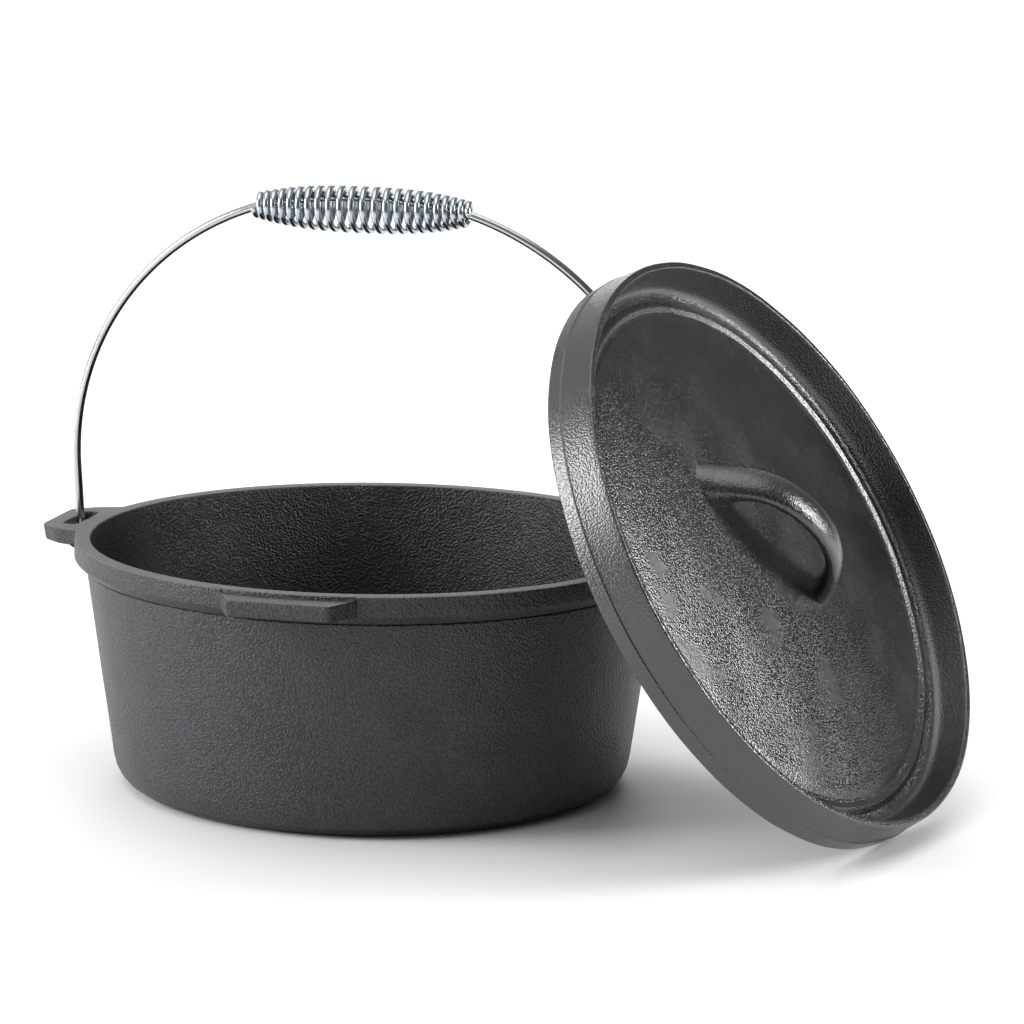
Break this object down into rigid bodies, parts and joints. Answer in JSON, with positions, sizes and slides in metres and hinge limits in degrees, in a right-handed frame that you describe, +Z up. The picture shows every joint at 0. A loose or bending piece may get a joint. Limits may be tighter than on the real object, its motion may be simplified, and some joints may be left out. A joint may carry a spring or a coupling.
{
  "type": "dutch oven",
  "caption": "Cast iron camp oven: open pot with slotted ears, wire bail with a coil spring grip, and a flanged lid with a loop handle leaning beside it.",
  "frame": {"origin": "centre of the pot's flat underside, on the table", "axes": "+Z up along the pot's axis; +X through the ear on the lid's side, along the bail's pivot line; the front tab is at -Y and the lid leans on the +X side"},
  "size_m": [0.4844, 0.3407, 0.3131],
  "materials": {
    "pot_iron": "sand-cast, seasoned satin black",
    "lid_iron": "sand-cast, seasoned semi-gloss black",
    "bail_wire": "bright plated wire",
    "grip_wire": "bright zinc plated spring wire"
  },
  "bodies": {
    "pot": {"pot": "pot_iron"},
    "bail": {"bail": "bail_wire"},
    "grip": {"spring_grip": "grip_wire"},
    "lid": {"lid": "lid_iron"}
  },
  "joints": [
    {"name": "bail_swing", "type": "hinge", "parent": "pot", "child": "bail", "pos_m": [0, 0, 0.117], "axis": [1, 0, 0], "range_deg": [-60, 44]},
    {"name": "grip_spin", "type": "hinge", "parent": "bail", "child": "grip", "pos_m": [0, -0.02583, 0.30079], "axis": [1, 0, 0], "continuous": true},
    {"name": "lid_lift", "type": "slide", "parent": "pot", "child": "lid", "axis": [0, 0, 1], "range_m": [0, 0.3]}
  ]
}
